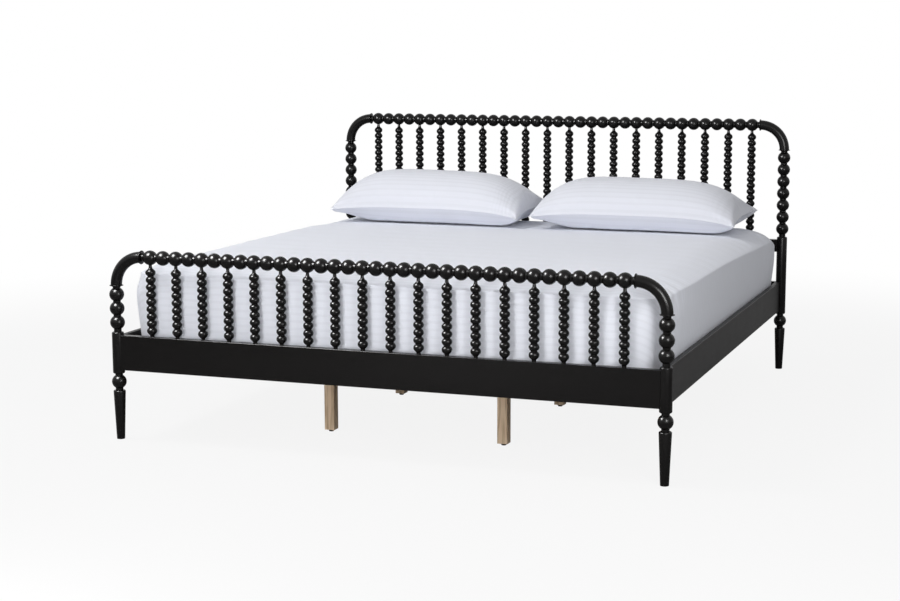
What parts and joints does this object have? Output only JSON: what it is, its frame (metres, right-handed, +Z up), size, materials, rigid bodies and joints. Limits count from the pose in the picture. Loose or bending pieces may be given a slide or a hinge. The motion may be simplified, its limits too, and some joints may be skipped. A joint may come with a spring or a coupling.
{
  "type": "platform bed",
  "caption": "Black platform bed with ball-turned posts and rails, beaded spindles, a slatted deck on centre legs with levelling glides, a mattress and pillows.",
  "frame": {"origin": "on the floor under the middle of the bed", "axes": "+X across the bed to the right seen from the foot end, +Y along the bed to the head end, +Z up"},
  "size_m": [2.0344, 2.1538, 1.0643],
  "materials": {
    "black_lacquer": "satin",
    "bare_wood": "matte",
    "leg_wood": "matte",
    "slat_wood": "matte",
    "folded_steel": "satin",
    "zinc_hardware": "satin",
    "glide_plastic": "matte",
    "sheet_cotton": "matte",
    "pillow_cotton": "matte"
  },
  "bodies": {
    "frame": {"footboard_post_left": "black_lacquer", "footboard_bend_left": "black_lacquer", "footboard_post_right": "black_lacquer", "footboard_bend_right": "black_lacquer", "footboard_top_rail": "black_lacquer", "footboard_spindles": "black_lacquer", "headboard_post_left": "black_lacquer", "headboard_bend_left": "black_lacquer", "headboard_post_right": "black_lacquer", "headboard_bend_right": "black_lacquer", "headboard_top_rail": "black_lacquer", "headboard_spindles": "black_lacquer", "footboard_board": "black_lacquer", "headboard_base_board": "black_lacquer", "headboard_lower_rail": "black_lacquer", "side_rail_left": "black_lacquer", "side_rail_right": "black_lacquer", "slat_cleat_left": "bare_wood", "slat_cleat_right": "bare_wood", "centre_rail_left": "bare_wood", "centre_rail_right": "bare_wood", "dowels": "bare_wood", "support_leg_left_foot": "leg_wood", "support_leg_left_middle": "leg_wood", "support_leg_left_head": "leg_wood", "support_leg_right_foot": "leg_wood", "support_leg_right_middle": "leg_wood", "support_leg_right_head": "leg_wood", "slat_01": "slat_wood", "slat_02": "slat_wood", "slat_03": "slat_wood", "slat_04": "slat_wood", "slat_05": "slat_wood", "slat_06": "slat_wood", "slat_07": "slat_wood", "slat_08": "slat_wood", "slat_09": "slat_wood", "slat_10": "slat_wood", "slat_11": "slat_wood", "slat_12": "slat_wood", "slat_13": "slat_wood", "slat_14": "slat_wood", "centre_rail_saddles": "folded_steel", "rail_bolts": "zinc_hardware", "rail_nuts": "zinc_hardware", "leg_bolts": "zinc_hardware", "leg_insert_nuts": "zinc_hardware", "cleat_screws": "zinc_hardware", "slat_screws": "zinc_hardware", "saddle_screws": "zinc_hardware"},
    "glide_left_foot": {"levelling_glide_left_foot": "glide_plastic"},
    "glide_left_middle": {"levelling_glide_left_middle": "glide_plastic"},
    "glide_left_head": {"levelling_glide_left_head": "glide_plastic"},
    "glide_right_foot": {"levelling_glide_right_foot": "glide_plastic"},
    "glide_right_middle": {"levelling_glide_right_middle": "glide_plastic"},
    "glide_right_head": {"levelling_glide_right_head": "glide_plastic"},
    "mattress": {"mattress": "sheet_cotton"},
    "pillow_left": {"pillow_left": "pillow_cotton"},
    "pillow_right": {"pillow_right": "pillow_cotton"}
  },
  "joints": [
    {"name": "glide_left_foot_screw", "type": "slide", "parent": "frame", "child": "glide_left_foot", "axis": [0, 0, -1], "range_m": [0, 0.01]},
    {"name": "glide_left_middle_screw", "type": "slide", "parent": "frame", "child": "glide_left_middle", "axis": [0, 0, -1], "range_m": [0, 0.01]},
    {"name": "glide_left_head_screw", "type": "slide", "parent": "frame", "child": "glide_left_head", "axis": [0, 0, -1], "range_m": [0, 0.01]},
    {"name": "glide_right_foot_screw", "type": "slide", "parent": "frame", "child": "glide_right_foot", "axis": [0, 0, -1], "range_m": [0, 0.01]},
    {"name": "glide_right_middle_screw", "type": "slide", "parent": "frame", "child": "glide_right_middle", "axis": [0, 0, -1], "range_m": [0, 0.01]},
    {"name": "glide_right_head_screw", "type": "slide", "parent": "frame", "child": "glide_right_head", "axis": [0, 0, -1], "range_m": [0, 0.01]},
    {"name": "mattress_lift", "type": "slide", "parent": "frame", "child": "mattress", "axis": [0, 0, 1], "range_m": [0, 0.75]},
    {"name": "pillow_left_lift", "type": "slide", "parent": "mattress", "child": "pillow_left", "axis": [0, 0, 1], "range_m": [0, 0.5]},
    {"name": "pillow_right_lift", "type": "slide", "parent": "mattress", "child": "pillow_right", "axis": [0, 0, 1], "range_m": [0, 0.5]}
  ]
}
